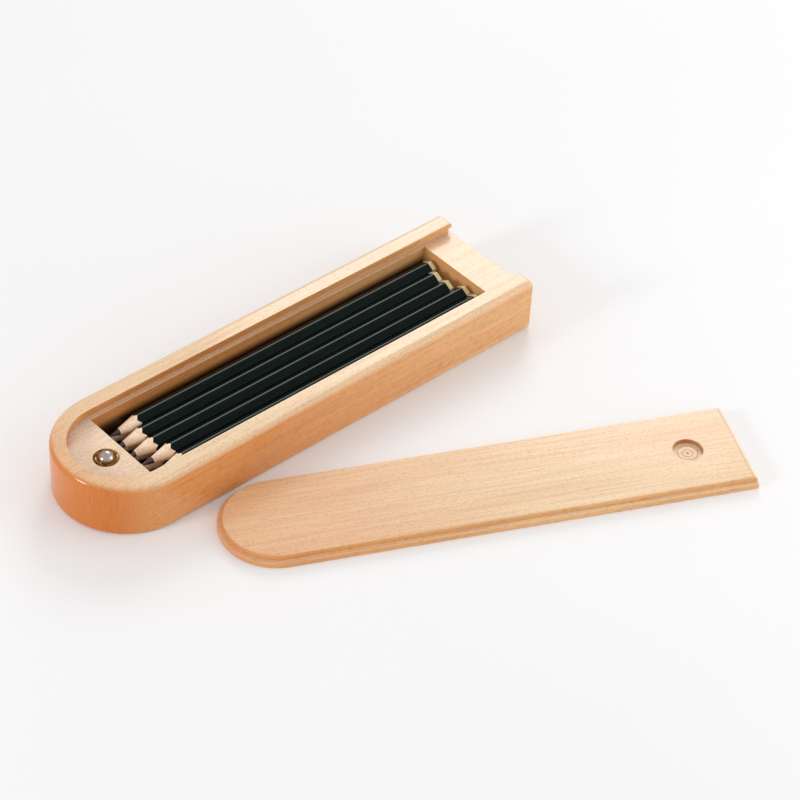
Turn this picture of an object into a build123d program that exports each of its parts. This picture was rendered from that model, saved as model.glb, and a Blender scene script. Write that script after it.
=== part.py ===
from build123d import *
import math
import os

# Wooden pencil box with its sliding lid taken off and laid beside it.
# Origin: centre of the box's base. X runs along the box to its square open end, Z is up.
# All lengths are in millimetres.

# Pencils
PENCIL_LENGTH = 176.0
PENCIL_FLATS = 7.0
PENCIL_EDGE_ROUND = 0.6
LACQUER_THICKNESS = 0.2
LEAD_DIAMETER = 2.8
TIP_RADIUS = 0.35
CONE_HALF_ANGLE = 12.9
SHOULDER_INSET = 0.1
SHOULDER_HALF_ANGLE = 26.5
END_DIP_LENGTH = 2.2
END_DIP_FACE = 0.3
END_DIP_ROUND = 0.2

# Rows: pencils side by side on the floor, and one fewer nested in their valleys
BOTTOM_ROW_COUNT = 6
PENCIL_SIDE_GAP = 1 / 3
FLOOR_CLEARANCE = 0.1
NEST_CLEARANCE = 0.1
TOP_ROW_END_GAPS = (2.2, 5.3, 5.3, 2.0, 2.0)
BOTTOM_ROW_END_GAPS = (3.6, 4.6, 4.0, 4.8, 4.2, 3.8)

# Pocket for the pencils: what it leaves over them, past their ends and around itself
POCKET_END_PLAY = 6.2
POCKET_HEADROOM = 2.235
FLOOR_THICKNESS = 3.3
SIDE_WALL = 9.0
SQUARE_END_DECK = 16.4
ROUND_END_DECK = 29.4

# Slot that the lid runs in: an opening between two lips, and a wider groove under them
OPENING_LEDGE = 0.3
GROOVE_DEPTH = 1.8
GROOVE_HEIGHT = 2.7
LIP_THICKNESS = 2.7
SLOT_ARC_FROM_OUTER_ARC = 2.0

# Rounded edges of the box
TOP_ROUNDOVER = 3.0
BOTTOM_ROUNDOVER = 2.0
END_EDGE_ROUND = 1.5
LIP_EDGE_ROUND = 0.3

# Lid
TONGUE_SIDE_CLEARANCE = 0.3
LID_SIDE_CLEARANCE = 0.5
LID_RUNNING_CLEARANCE = 0.1
LID_TOP_EDGE_ROUND = 0.5
LID_END_EDGE_ROUND = 2.4
TONGUE_EDGE_ROUND = 0.3
RECESS_DIAMETER = 12.9
RECESS_DEPTH = 2.1
RECESS_FROM_END = 22.9
RECESS_RING_DEPTH = 0.12
RECESS_RING_WIDTH = 0.5
RECESS_RING_RADII = (2.2, 4.3)
BIT_POINT_DIAMETER = 1.4
BIT_POINT_DEPTH = 0.5
DIMPLE_DEPTH = 1.5
DIMPLE_BALL_CLEARANCE = 0.3

# Where the lid lies on the table: the middle of its square end, and its turn about Z
LID_REST_PAST_END = 13.3
LID_REST_FROM_SIDE = 112.5
LID_REST_TURN = -25.6

# Ball catch in the round end's deck
CATCH_FROM_POCKET = 8.7
BALL_DIAMETER = 7.4
BALL_SIDE_CLEARANCE = 0.1
BALL_STOP_PLAY = 0.1
CUP_WALL = 0.9
CUP_FLANGE_WIDTH = 0.6
CUP_FLANGE_THICKNESS = 0.6
CUP_LIP_HEIGHT = 0.3
CUP_DEPTH = 11.0
CUP_FLOOR_THICKNESS = 0.6
CUP_HOLE_CLEARANCE = 0.02
CUP_MOUTH_OVERLAP = 0.1
CUP_MOUTH_SLOPE = 0.2
CUP_NOTCH_WIDTH = 0.7
CUP_NOTCH_DEPTH = 0.45
CUP_NOTCH_ANGLE = 191.0
SPRING_WIRE = 0.5
SPRING_MEAN_DIAMETER = 5.2
SPRING_TURNS = 5.0
SPRING_SEAT_PLAY = 0.03

# Sizes and places worked out from the ones above, from the pencils outwards
PENCIL_CORNERS = PENCIL_FLATS * 2 / math.sqrt(3)
PENCIL_PITCH = PENCIL_FLATS + PENCIL_SIDE_GAP
ROW_RISE = (PENCIL_FLATS + NEST_CLEARANCE - PENCIL_PITCH / 4) * 2 / math.sqrt(3)
BOTTOM_ROW_Z = FLOOR_THICKNESS + PENCIL_CORNERS / 2 + FLOOR_CLEARANCE
TOP_ROW_Z = BOTTOM_ROW_Z + ROW_RISE

POCKET_LENGTH = PENCIL_LENGTH + POCKET_END_PLAY
POCKET_WIDTH = PENCIL_PITCH * BOTTOM_ROW_COUNT
OPENING_WIDTH = POCKET_WIDTH + 2 * OPENING_LEDGE
GROOVE_WIDTH = OPENING_WIDTH + 2 * GROOVE_DEPTH
DECK_Z = TOP_ROW_Z + PENCIL_CORNERS / 2 + POCKET_HEADROOM
LIP_UNDERSIDE_Z = DECK_Z + GROOVE_HEIGHT

BOX_LENGTH = SQUARE_END_DECK + POCKET_LENGTH + ROUND_END_DECK
BOX_WIDTH = POCKET_WIDTH + 2 * SIDE_WALL
BOX_HEIGHT = LIP_UNDERSIDE_Z + LIP_THICKNESS
SQUARE_END_X = BOX_LENGTH / 2
ROUND_CENTRE_X = -BOX_LENGTH / 2 + BOX_WIDTH / 2
SLOT_CENTRE_X = ROUND_CENTRE_X - SLOT_ARC_FROM_OUTER_ARC
POCKET_FAR_X = SQUARE_END_X - SQUARE_END_DECK
POCKET_NEAR_X = POCKET_FAR_X - POCKET_LENGTH
CATCH_X = POCKET_NEAR_X - CATCH_FROM_POCKET

TONGUE_WIDTH = GROOVE_WIDTH - 2 * TONGUE_SIDE_CLEARANCE
TONGUE_THICKNESS = GROOVE_HEIGHT - 2 * LID_RUNNING_CLEARANCE
LID_WIDTH = OPENING_WIDTH - 2 * LID_SIDE_CLEARANCE
LID_THICKNESS = GROOVE_HEIGHT + LIP_THICKNESS - 2 * LID_RUNNING_CLEARANCE
LID_STRAIGHT = SQUARE_END_X - SLOT_CENTRE_X
LID_LENGTH = LID_STRAIGHT + TONGUE_WIDTH / 2
LID_CLOSED_Z = DECK_Z + LID_RUNNING_CLEARANCE
LID_REST_X = SQUARE_END_X + LID_REST_PAST_END
LID_REST_Y = -BOX_WIDTH / 2 - LID_REST_FROM_SIDE

BALL_RADIUS = BALL_DIAMETER / 2
CUP_BORE_RADIUS = BALL_RADIUS + BALL_SIDE_CLEARANCE
CUP_BODY_RADIUS = CUP_BORE_RADIUS + CUP_WALL
CUP_FLANGE_RADIUS = CUP_BODY_RADIUS + CUP_FLANGE_WIDTH
MOUTH_RADIUS = BALL_RADIUS - CUP_MOUTH_OVERLAP
BALL_STOP_DROP = math.sqrt(BALL_RADIUS**2 - MOUTH_RADIUS**2)
BALL_Z = DECK_Z - BALL_STOP_DROP - BALL_STOP_PLAY
BALL_TRAVEL = BALL_Z + BALL_RADIUS - LID_CLOSED_Z


def face_in_xz(outline):
    """A flat face in the XZ plane from a closed run of lines and arcs."""
    return Plane.XZ * make_face(Curve() + outline)


def slot_plate(width, low_z, high_z):
    """A plate with a round end, running out past the box's square end."""
    straight = SQUARE_END_X - SLOT_CENTRE_X + BOX_WIDTH
    height = high_z - low_z
    low = Pos(SLOT_CENTRE_X, 0, low_z)
    plate = Box(straight, width, height, align=(Align.MIN, Align.CENTER, Align.MIN))
    disc = Cylinder(width / 2, height, align=(Align.CENTER, Align.CENTER, Align.MIN))
    return low * plate + low * disc


def half_section():
    """Half of the block's cross-section, from its middle out to one side."""
    side = BOX_WIDTH / 2
    top = BOX_HEIGHT - TOP_ROUNDOVER
    low = BOTTOM_ROUNDOVER
    return face_in_xz([
        Line((0, 0), (side - low, 0)),
        CenterArc((side - low, low), low, -90, 90),
        Line((side, low), (side, top)),
        CenterArc((side - TOP_ROUNDOVER, top), TOP_ROUNDOVER, 0, 90),
        Line((side - TOP_ROUNDOVER, BOX_HEIGHT), (0, BOX_HEIGHT)),
        Line((0, BOX_HEIGHT), (0, 0)),
    ])


def box_block():
    """The solid block: a rounded section run straight, and turned to make the round end."""
    half = Rot(0, 0, 90) * half_section()
    run = SQUARE_END_X - ROUND_CENTRE_X
    left = extrude(half, run, dir=(1, 0, 0))
    straight = left + mirror(left, Plane.XZ)
    end_face = straight.faces().sort_by(Axis.X)[-1]
    straight = fillet(end_face.outer_wire().edges(), END_EDGE_ROUND)
    round_end = revolve(half, Axis.Z, 180)
    return Pos(ROUND_CENTRE_X, 0, 0) * (straight + round_end)


def lip_edges(block):
    """The opening's edges on the box's top face."""
    top_face = block.faces().sort_by(Axis.Z)[-1]
    reach = OPENING_WIDTH / 2 + LIP_EDGE_ROUND
    return [
        edge for edge in top_face.edges()
        if edge.bounding_box().max.Y < reach and edge.bounding_box().min.Y > -reach
    ]


def pocket_box():
    return Pos(POCKET_NEAR_X, 0, FLOOR_THICKNESS) * Box(
        POCKET_LENGTH, POCKET_WIDTH, BOX_HEIGHT, align=(Align.MIN, Align.CENTER, Align.MIN)
    )


def catch_hole():
    """Stepped hole for the catch's cup: a bore for its body and a shallow one for its flange."""
    flange_z = DECK_Z - CUP_FLANGE_THICKNESS
    bore = Pos(CATCH_X, 0, DECK_Z - CUP_DEPTH) * Cylinder(
        CUP_BODY_RADIUS + CUP_HOLE_CLEARANCE, CUP_DEPTH + BOX_HEIGHT,
        align=(Align.CENTER, Align.CENTER, Align.MIN),
    )
    step = Pos(CATCH_X, 0, flange_z) * Cylinder(
        CUP_FLANGE_RADIUS + CUP_HOLE_CLEARANCE, BOX_HEIGHT,
        align=(Align.CENTER, Align.CENTER, Align.MIN),
    )
    return bore + step


def box_body():
    block = box_block() - slot_plate(OPENING_WIDTH, LIP_UNDERSIDE_Z, BOX_HEIGHT + LIP_THICKNESS)
    block = fillet(lip_edges(block), LIP_EDGE_ROUND)
    block -= slot_plate(GROOVE_WIDTH, DECK_Z, LIP_UNDERSIDE_Z)
    block -= pocket_box()
    block -= catch_hole()
    return block


def lid_layer(width, low_z, high_z):
    """One layer of the lid, in the lid's own frame: square end at X 0, round end at -X."""
    height = high_z - low_z
    plate = Box(LID_STRAIGHT, width, height, align=(Align.MAX, Align.CENTER, Align.MIN))
    disc = Cylinder(width / 2, height, align=(Align.CENTER, Align.CENTER, Align.MIN))
    return Pos(0, 0, low_z) * (plate + Pos(-LID_STRAIGHT, 0, 0) * disc)


def long_edges(layer, side):
    """The edges of a layer's top (side -1) or underside (side 0) but for its square end's."""
    face = layer.faces().sort_by(Axis.Z)[side]
    return face.outer_wire().edges().sort_by(Axis.X)[:-1]


def lid_end_form():
    """A block as long as the lid with the square end's top edge rounded."""
    top = LID_THICKNESS - LID_END_EDGE_ROUND
    section = face_in_xz([
        Line((-LID_LENGTH, 0), (0, 0)),
        Line((0, 0), (0, top)),
        CenterArc((-LID_END_EDGE_ROUND, top), LID_END_EDGE_ROUND, 0, 90),
        Line((-LID_END_EDGE_ROUND, LID_THICKNESS), (-LID_LENGTH, LID_THICKNESS)),
        Line((-LID_LENGTH, LID_THICKNESS), (-LID_LENGTH, 0)),
    ])
    return extrude(section, TONGUE_WIDTH, both=True)


def thumb_recess():
    """Flat-bottomed thumb hole as a drill bit leaves it: a point mark and two shallow rings."""
    floor_z = LID_THICKNESS - RECESS_DEPTH
    centre = Pos(-RECESS_FROM_END, 0, floor_z)
    up = (Align.CENTER, Align.CENTER, Align.MIN)
    down = (Align.CENTER, Align.CENTER, Align.MAX)
    recess = centre * Cylinder(RECESS_DIAMETER / 2, LID_THICKNESS, align=up)
    recess += centre * Cone(0, BIT_POINT_DIAMETER / 2, BIT_POINT_DEPTH, align=down)
    for radius in RECESS_RING_RADII:
        ring = Cylinder(radius + RECESS_RING_WIDTH / 2, RECESS_RING_DEPTH, align=down)
        ring -= Cylinder(radius - RECESS_RING_WIDTH / 2, RECESS_RING_DEPTH, align=down)
        recess += centre * ring
    return recess


def catch_dimple():
    """Hollow under the lid that the ball springs into when the lid is home."""
    radius = BALL_RADIUS + DIMPLE_BALL_CLEARANCE
    return Pos(CATCH_X - SQUARE_END_X, 0, DIMPLE_DEPTH - radius) * Sphere(radius)


def lid_panel():
    tongue = lid_layer(TONGUE_WIDTH, 0, TONGUE_THICKNESS)
    tongue = fillet(long_edges(tongue, -1), TONGUE_EDGE_ROUND)
    tongue = fillet(long_edges(tongue, 0), TONGUE_EDGE_ROUND)
    board = lid_layer(LID_WIDTH, 0, LID_THICKNESS)
    board = fillet(long_edges(board, -1), LID_TOP_EDGE_ROUND)
    lid = (tongue + board) & lid_end_form()
    lid -= thumb_recess()
    lid -= catch_dimple()
    return Pos(LID_REST_X, LID_REST_Y, 0) * Rot(0, 0, LID_REST_TURN) * lid


def catch_cup():
    """Brass cup: a flanged tube with a rolled mouth that keeps the ball in."""
    flange = CUP_FLANGE_RADIUS
    body = CUP_BODY_RADIUS
    bore = CUP_BORE_RADIUS
    crest = (flange + MOUTH_RADIUS) / 2
    floor_top = CUP_FLOOR_THICKNESS - CUP_DEPTH
    section = face_in_xz([
        Line((0, -CUP_DEPTH), (body, -CUP_DEPTH)),
        Line((body, -CUP_DEPTH), (body, -CUP_FLANGE_THICKNESS)),
        Line((body, -CUP_FLANGE_THICKNESS), (flange, -CUP_FLANGE_THICKNESS)),
        Line((flange, -CUP_FLANGE_THICKNESS), (flange, 0)),
        ThreePointArc((flange, 0), (crest, CUP_LIP_HEIGHT), (MOUTH_RADIUS, 0)),
        Line((MOUTH_RADIUS, 0), (bore, -CUP_MOUTH_SLOPE)),
        Line((bore, -CUP_MOUTH_SLOPE), (bore, floor_top)),
        Line((bore, floor_top), (0, floor_top)),
        Line((0, floor_top), (0, -CUP_DEPTH)),
    ])
    cup = revolve(section, Axis.Z, 360)
    notch = Pos(flange, 0, 0) * Box(2 * CUP_NOTCH_DEPTH, CUP_NOTCH_WIDTH, 2 * CUP_FLANGE_THICKNESS)
    return Pos(CATCH_X, 0, DECK_Z) * (cup - Rot(0, 0, CUP_NOTCH_ANGLE) * notch)


def catch_ball():
    return Pos(CATCH_X, 0, BALL_Z) * Sphere(BALL_RADIUS)


def catch_spring():
    """Coil spring between the cup's floor and the ball, one unbroken wire."""
    mean = SPRING_MEAN_DIAMETER / 2
    wire = SPRING_WIRE / 2
    low = DECK_Z - CUP_DEPTH + CUP_FLOOR_THICKNESS + wire + SPRING_SEAT_PLAY
    reach = BALL_RADIUS + wire + SPRING_SEAT_PLAY
    high = BALL_Z - math.sqrt(reach**2 - mean**2)
    height = high - low
    pitch = height / SPRING_TURNS
    print("spring: least gap between turns", round(pitch - SPRING_WIRE, 2))
    path = Helix(pitch, height, mean)
    section = Plane(origin=path @ 0, z_dir=path % 0) * Circle(wire)
    return Pos(CATCH_X, 0, low) * sweep(section, path, is_frenet=True)


def hexagon_bar(flats, edge_round, start_x, end_x):
    """Bar along X with six flats, standing on a corner, its long edges rounded."""
    corner = flats / math.sqrt(3)
    angles = [math.radians(60 * number) for number in range(6)]
    points = [(corner * math.sin(angle), corner * math.cos(angle)) for angle in angles]
    outline = make_face(Polyline(*points, close=True))
    outline = Plane.YZ * fillet(outline.vertices(), edge_round)
    return Pos(start_x, 0, 0) * extrude(outline, end_x - start_x, dir=(1, 0, 0))


def sharpened_form():
    """What a sharpener leaves: a long cone, and a short steeper shoulder out past the corners."""
    shoulder = PENCIL_FLATS / 2 - SHOULDER_INSET
    shoulder_x = (shoulder - TIP_RADIUS) / math.tan(math.radians(CONE_HALF_ANGLE))
    widest = PENCIL_FLATS
    widest_x = shoulder_x + (widest - shoulder) / math.tan(math.radians(SHOULDER_HALF_ANGLE))
    rise = [(0, 0), (0, TIP_RADIUS), (shoulder_x, shoulder), (widest_x, widest)]
    section = make_face(Polyline(*rise, (PENCIL_LENGTH, widest), (PENCIL_LENGTH, 0), close=True))
    return revolve(section, Axis.X, 360)


def pencil_pieces():
    """The pieces of one pencil along X, its tip at X 0: wood, lead, lacquer and dipped end."""
    form = sharpened_form()
    inner_flats = PENCIL_FLATS - 2 * LACQUER_THICKNESS
    inner_round = PENCIL_EDGE_ROUND - LACQUER_THICKNESS
    dip_start = PENCIL_LENGTH - END_DIP_LENGTH
    wood_end = PENCIL_LENGTH - END_DIP_FACE
    low = (Align.CENTER, Align.CENTER, Align.MIN)
    lead_bar = Rot(0, 90, 0) * Cylinder(LEAD_DIAMETER / 2, wood_end, align=low)
    core = hexagon_bar(inner_flats, inner_round, 0, wood_end)
    coat = hexagon_bar(PENCIL_FLATS, PENCIL_EDGE_ROUND, 0, dip_start)
    dip = hexagon_bar(PENCIL_FLATS, PENCIL_EDGE_ROUND, dip_start, PENCIL_LENGTH)
    end_face = dip.faces().sort_by(Axis.X)[-1]
    dip = fillet(end_face.outer_wire().edges(), END_DIP_ROUND)
    return {
        "wood": (core & form) - lead_bar,
        "lead": lead_bar & form,
        "lacquer": (coat - core) & form,
        "end_dip": dip - core,
    }


def row_places(row_name, count, height, end_gaps):
    """Name, centre and tip of each pencil in a row, from the +Y wall to the -Y wall."""
    places = []
    for number in range(count):
        y = ((count - 1) / 2 - number) * PENCIL_PITCH
        tip_x = POCKET_FAR_X - end_gaps[number] - PENCIL_LENGTH
        places.append((f"{row_name}_pencil_{number + 1}", tip_x, y, height))
    return places


def pencils():
    top_count = BOTTOM_ROW_COUNT - 1
    places = row_places("top", top_count, TOP_ROW_Z, TOP_ROW_END_GAPS)
    places += row_places("bottom", BOTTOM_ROW_COUNT, BOTTOM_ROW_Z, BOTTOM_ROW_END_GAPS)
    pieces = pencil_pieces()
    placed = {}
    for name, tip_x, y, z in places:
        print(name, "tip", round(tip_x, 2), "axis", round(y, 3), round(z, 3))
        for piece_name, piece in pieces.items():
            placed[f"{name}_{piece_name}"] = Pos(tip_x, y, z) * piece
    return placed


def main():
    os.makedirs("parts", exist_ok=True)
    nodes = {
        "box_body": box_body(),
        "lid_panel": lid_panel(),
        "catch_cup": catch_cup(),
        "catch_ball": catch_ball(),
        "catch_spring": catch_spring(),
    }
    nodes.update(pencils())
    print("deck", DECK_Z, "lid closed at", LID_CLOSED_Z, "lid length", LID_LENGTH)
    print("ball centre", round(BALL_Z, 3), "ball travel", round(BALL_TRAVEL, 3))
    for name, solid in nodes.items():
        export_step(solid, f"parts/{name}.step")


main()
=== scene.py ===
import math

import bmesh
import bpy
from mathutils import Matrix, Vector


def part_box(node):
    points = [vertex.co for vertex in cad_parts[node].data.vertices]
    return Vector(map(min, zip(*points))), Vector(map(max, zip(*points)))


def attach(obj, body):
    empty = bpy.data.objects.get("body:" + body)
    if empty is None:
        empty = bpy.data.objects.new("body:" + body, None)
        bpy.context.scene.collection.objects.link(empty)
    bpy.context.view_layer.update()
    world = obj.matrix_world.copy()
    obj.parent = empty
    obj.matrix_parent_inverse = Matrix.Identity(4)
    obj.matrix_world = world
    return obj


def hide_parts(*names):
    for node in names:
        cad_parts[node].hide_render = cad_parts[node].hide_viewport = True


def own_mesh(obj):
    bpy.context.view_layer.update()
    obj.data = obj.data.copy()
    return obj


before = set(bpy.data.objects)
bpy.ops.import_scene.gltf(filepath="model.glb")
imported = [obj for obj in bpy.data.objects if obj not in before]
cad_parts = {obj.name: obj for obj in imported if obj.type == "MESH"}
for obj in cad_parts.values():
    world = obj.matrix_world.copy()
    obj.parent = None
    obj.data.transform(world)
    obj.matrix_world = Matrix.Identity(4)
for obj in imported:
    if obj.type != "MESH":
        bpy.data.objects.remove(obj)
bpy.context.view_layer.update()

bl_info = {
    "name": "Wooden pencil box",
    "version": (1, 0, 0),
    "blender": (4, 5, 0),
    "location": "View3D > Sidebar > Pencil box",
    "description": "Beech pencil box with a sliding lid, a ball catch and sharpened pencils",
    "category": "Object",
}

MM = 0.001
TOP_PENCILS = [f"top_pencil_{number}" for number in range(1, 6)]
BOTTOM_PENCILS = [f"bottom_pencil_{number}" for number in range(1, 7)]
TABLE_HALF_SIDE = 6000 * MM

# Points this close are one point, and a hair tells one side of a face from the other.
MERGE_DISTANCE = 0.002 * MM
HAIR = 0.1 * MM

# The box's decks and pocket, the half-length over which the decks' painted light fades, and the heights where
# the pocket's painted shade is full and where it ends.
DECK_Z = 19.8 * MM
DECK_TOLERANCE = 0.3 * MM
DECK_FADE_X = 90 * MM
POCKET_MIDDLE_X = 6.1 * MM
POCKET_HALF_LENGTH = 91.3 * MM
POCKET_HALF_WIDTH = 22.2 * MM
POCKET_FLOOR_Z = 3.3 * MM
SHADE_FULL_Z = 11.5 * MM
SHADE_END_Z = 16.5 * MM

# The lid, whose square end lies at LID_END, and its thumb recess with the marks of the bit, which also carry
# painted shade on its wall and in its grooves.
LID_TURN = math.radians(-25.6)
LID_END = Vector((127.3, -143.5, 0.0)) * MM
LID_TOP_Z = 5.2 * MM
RECESS_FROM_END = 22.9 * MM
RECESS_RADIUS = 6.45 * MM
RECESS_FLOOR_Z = 3.1 * MM
MARKS_RADIUS = 5.4 * MM
POINT_MARK_DEPTH = 0.6 * MM
WALL_BAND = 0.15 * MM
WALL_BROWN_DEPTH = 0.6 * MM

# The length, width and height of each pattern in the beech, with its grain along X.
SWAY_SIZE = (140 * MM, 30 * MM, 30 * MM)
BROAD_SIZE = (130 * MM, 11 * MM, 11 * MM)
STREAK_SIZE = (45 * MM, 0.9 * MM, 0.9 * MM)
FIBRE_SIZE = (6 * MM, 0.28 * MM, 0.28 * MM)
RAY_SIZE = (6 * MM, 0.4 * MM, 9 * MM)
RING_SWAY = 7 * MM

# The small edges of a pencil's pieces, and the heights over its axis where the painted highlight on its upper
# corner starts and where it is full.
END_PAINT_THICKNESS = 0.3 * MM
END_PAINT_EASE = 0.2 * MM
POINT_BEVEL = 0.12 * MM
LACQUER_LIP = 0.05 * MM
LACQUER_BEVEL = 0.12 * MM
HIGHLIGHT_FROM_Z = 3.79 * MM
HIGHLIGHT_FULL_Z = 3.9 * MM

# Where the sharpened wood has rings of points, as shares of the way from the lead to the lacquer.
WOOD_RING_SHARES = (0.25, 0.5, 0.75, 0.88)

# The photograph's camera, in metres, and its lens and sensor in millimetres.
CAMERA_PLACE = Vector((-0.5593, -0.6558, 0.7679))
CAMERA_RIGHT = Vector((0.7491, -0.6609, 0.0447))
CAMERA_FORWARD = Vector((0.5163, 0.5403, -0.6645))
CAMERA_LENS = 122.67
CAMERA_SENSOR = 36.0


def linear(hex_colour):
    """An sRGB hex colour as the linear RGBA that Blender's sockets take."""
    channels = [int(hex_colour[place:place + 2], 16) / 255 for place in (1, 3, 5)]
    return tuple(c / 12.92 if c <= 0.04045 else ((c + 0.055) / 1.055) ** 2.4 for c in channels) + (1.0,)


def swatch(name, description, hex_colour):
    """A colour that a user can change."""
    return bpy.props.FloatVectorProperty(
        name=name, description=description, subtype="COLOR", size=4, min=0, max=1, default=linear(hex_colour)
    )


def length(name, description, millimetres):
    """A length that a user can change, given here in millimetres and kept in metres."""
    return bpy.props.FloatProperty(
        name=name, description=description, default=millimetres * MM, min=0, precision=5, unit="LENGTH"
    )


def angle(name, description, degrees):
    """An angle that a user can change, given here in degrees and kept in radians."""
    return bpy.props.FloatProperty(
        name=name, description=description, default=math.radians(degrees), unit="ROTATION", subtype="ANGLE"
    )


def amount(name, description, value):
    """A plain number that a user can change."""
    return bpy.props.FloatProperty(name=name, description=description, default=value, min=0)


class BeechSettings(bpy.types.PropertyGroup):
    # Pale stands partly for painted sheen of the light on the tops; warm is the sides' tone without it.
    pale: swatch("Flat-sawn face", "Tops and undersides, which the rings run along", "#f0d4ac")
    warm: swatch("Quarter-sawn face", "Sides and inner walls, which the rings cut through", "#edbb80")
    fleck: swatch("Fleck", "Flecks, fibres and rings, and the wood that the bit browned", "#a8602a")
    # Deep also serves as the painted shade towards the round ends.
    deep: swatch("Deep wood", "Wood whose open fibres drink the varnish, as on the round ends", "#d9781c")
    bare: swatch("Bare wood", "Planed wood of the deck, under no varnish", "#fae8cc")
    # The pocket colour is painted shade, laid darker towards the pocket's floor.
    pocket_shade: swatch("Pocket dust", "Wood of the pocket, dulled by graphite", "#2e170c")
    fleck_length: length("Fleck length", "Length of a fleck along the grain", 2.6)
    fleck_width: length("Fleck width", "Width of a fleck, as fine as the render shows", 0.4)
    ring_spacing: length("Ring spacing", "Distance between growth rings", 1.3)
    grain_rise: angle("Grain rise", "How steeply the grain climbs along the sides", 14.0)


class PencilSettings(bpy.types.PropertyGroup):
    lacquer: swatch("Lacquer", "Dark green coat", "#060f0c")
    cedar: swatch("Cedar", "Bare wood of the sharpened cone", "#ffeed4")
    graphite: swatch("Graphite", "Lead", "#66616a")
    end_paint: swatch("End paint", "Cream dip at the blunt end", "#dcc694")
    flats: length("Flats", "Width across flats", 7.0)
    edge_round: length("Edge round", "Radius of the long edges", 0.6)
    lacquer_thickness: length("Lacquer thickness", "Thickness of the coat", 0.2)
    lead: length("Lead", "Diameter of the lead", 2.8)
    tip_radius: length("Tip radius", "Radius of the point", 0.35)
    cone_angle: angle("Cone angle", "Half angle of the sharpened cone", 12.9)
    shoulder_inset: length("Shoulder inset", "How far inside the flats the steeper shoulder starts", 0.1)
    shoulder_angle: angle("Shoulder angle", "Half angle of the shoulder behind the cone", 26.5)
    full_length: length("Length", "Length from point to blunt end", 176.0)
    dip: length("Dip", "Length of the painted end", 2.2)
    sides: bpy.props.IntProperty(
        name="Points around", description="Points around each pencil", default=240, min=24, max=480
    )


class CatchSettings(bpy.types.PropertyGroup):
    brass: swatch("Brass", "Turned brass of the cup", "#996a2d")
    tarnish: swatch("Tarnish", "Brown film on the brass", "#4c2b13")
    steel: swatch("Steel", "Polished ball", "#c6bab0")
    turning_pitch: length("Turning pitch", "Distance between the lathe's rings on the cup", 0.28)


class StageSettings(bpy.types.PropertyGroup):
    floor: swatch("Floor", "Plain pale table", "#eeeeee")
    sky: amount("Sky", "Strength of the even light all round", 0.73)
    key_watts: amount("Key light", "Power of the large soft light behind and to the right", 6.0)
    side_watts: amount("Side light", "Power of the small light to the left", 2.8)
    fill_watts: amount("Fill light", "Power of the low soft light to the right", 2.0)


def add(tree, kind, inputs=None, output=0, **settings):
    """Adds a node with its settings and its inputs, linked or set, and returns one of its outputs.

    An output of None returns the node itself.
    """
    node = tree.nodes.new(kind)
    for name, value in settings.items():
        setattr(node, name, value)
    for key, value in (inputs or {}).items():
        if isinstance(value, bpy.types.NodeSocket):
            tree.links.new(value, node.inputs[key])
        else:
            node.inputs[key].default_value = value
    return node if output is None else node.outputs[output]


def new_material(name):
    """A material with an empty tree, and the tree."""
    material = bpy.data.materials.new(name)
    material.use_nodes = True
    material.node_tree.nodes.clear()
    return material, material.node_tree


def patches(tree, place, size, detail, roughness=0.5):
    """A pattern of soft patches from 0 to 1, of a given size along X, Y and Z."""
    scaled = add(tree, "ShaderNodeVectorMath", {
        0: place, 1: tuple(1 / side for side in size),
    }, operation="MULTIPLY")
    return add(tree, "ShaderNodeTexNoise", {
        "Vector": scaled, "Scale": 1.0, "Detail": detail, "Roughness": roughness,
    })


def toned(tree, pattern, low, high, first, second):
    """A colour that turns from the first to the second where a pattern rises from low to high."""
    share = add(tree, "ShaderNodeMapRange", {"Value": pattern, "From Min": low, "From Max": high})
    return add(tree, "ShaderNodeMix", {0: share, 6: first, 7: second}, output=2, data_type="RGBA")


def board_places(tree, origin, turn):
    """A point's place in the board's own frame, its grain along X, as a vector and its X, Y and Z."""
    back = Matrix.Rotation(-turn, 3, "Z")
    board = add(tree, "ShaderNodeMapping", {
        "Vector": add(tree, "ShaderNodeTexCoord", output="Object"),
        "Location": -(back @ origin), "Rotation": (0, 0, -turn),
    })
    parts = add(tree, "ShaderNodeSeparateXYZ", {0: board}, output=None).outputs
    return board, parts["X"], parts["Y"], parts["Z"]


def growth_rings(tree, board, y, z, heart, spacing):
    """How deep a point lies in its growth ring, from 0 to 1. The rings sway a little along the board."""
    sway = patches(tree, board, SWAY_SIZE, 2.0)
    shift = add(tree, "ShaderNodeMath", {0: sway, 1: RING_SWAY, 2: -RING_SWAY / 2}, operation="MULTIPLY_ADD")
    across = add(tree, "ShaderNodeMath", {0: y, 1: heart[0]}, operation="SUBTRACT")
    up = add(tree, "ShaderNodeMath", {0: z, 1: heart[1]}, operation="SUBTRACT")
    swayed = add(tree, "ShaderNodeMath", {0: up, 1: shift}, operation="ADD")
    flat = add(tree, "ShaderNodeCombineXYZ", {0: across, 1: swayed})
    reach = add(tree, "ShaderNodeVectorMath", {0: flat}, output="Value", operation="LENGTH")
    turns = add(tree, "ShaderNodeMath", {0: reach, 1: spacing}, operation="DIVIDE")
    return add(tree, "ShaderNodeMath", {0: turns}, operation="FRACT")


def faded(tree, x, fade):
    """A share that runs from fade's last number down to 0 between its first two, along the board."""
    return add(tree, "ShaderNodeMapRange", {
        "Value": x, "From Min": fade[0], "From Max": fade[1], "To Min": fade[2], "To Max": 0.0,
    }, interpolation_type="SMOOTHSTEP")


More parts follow.
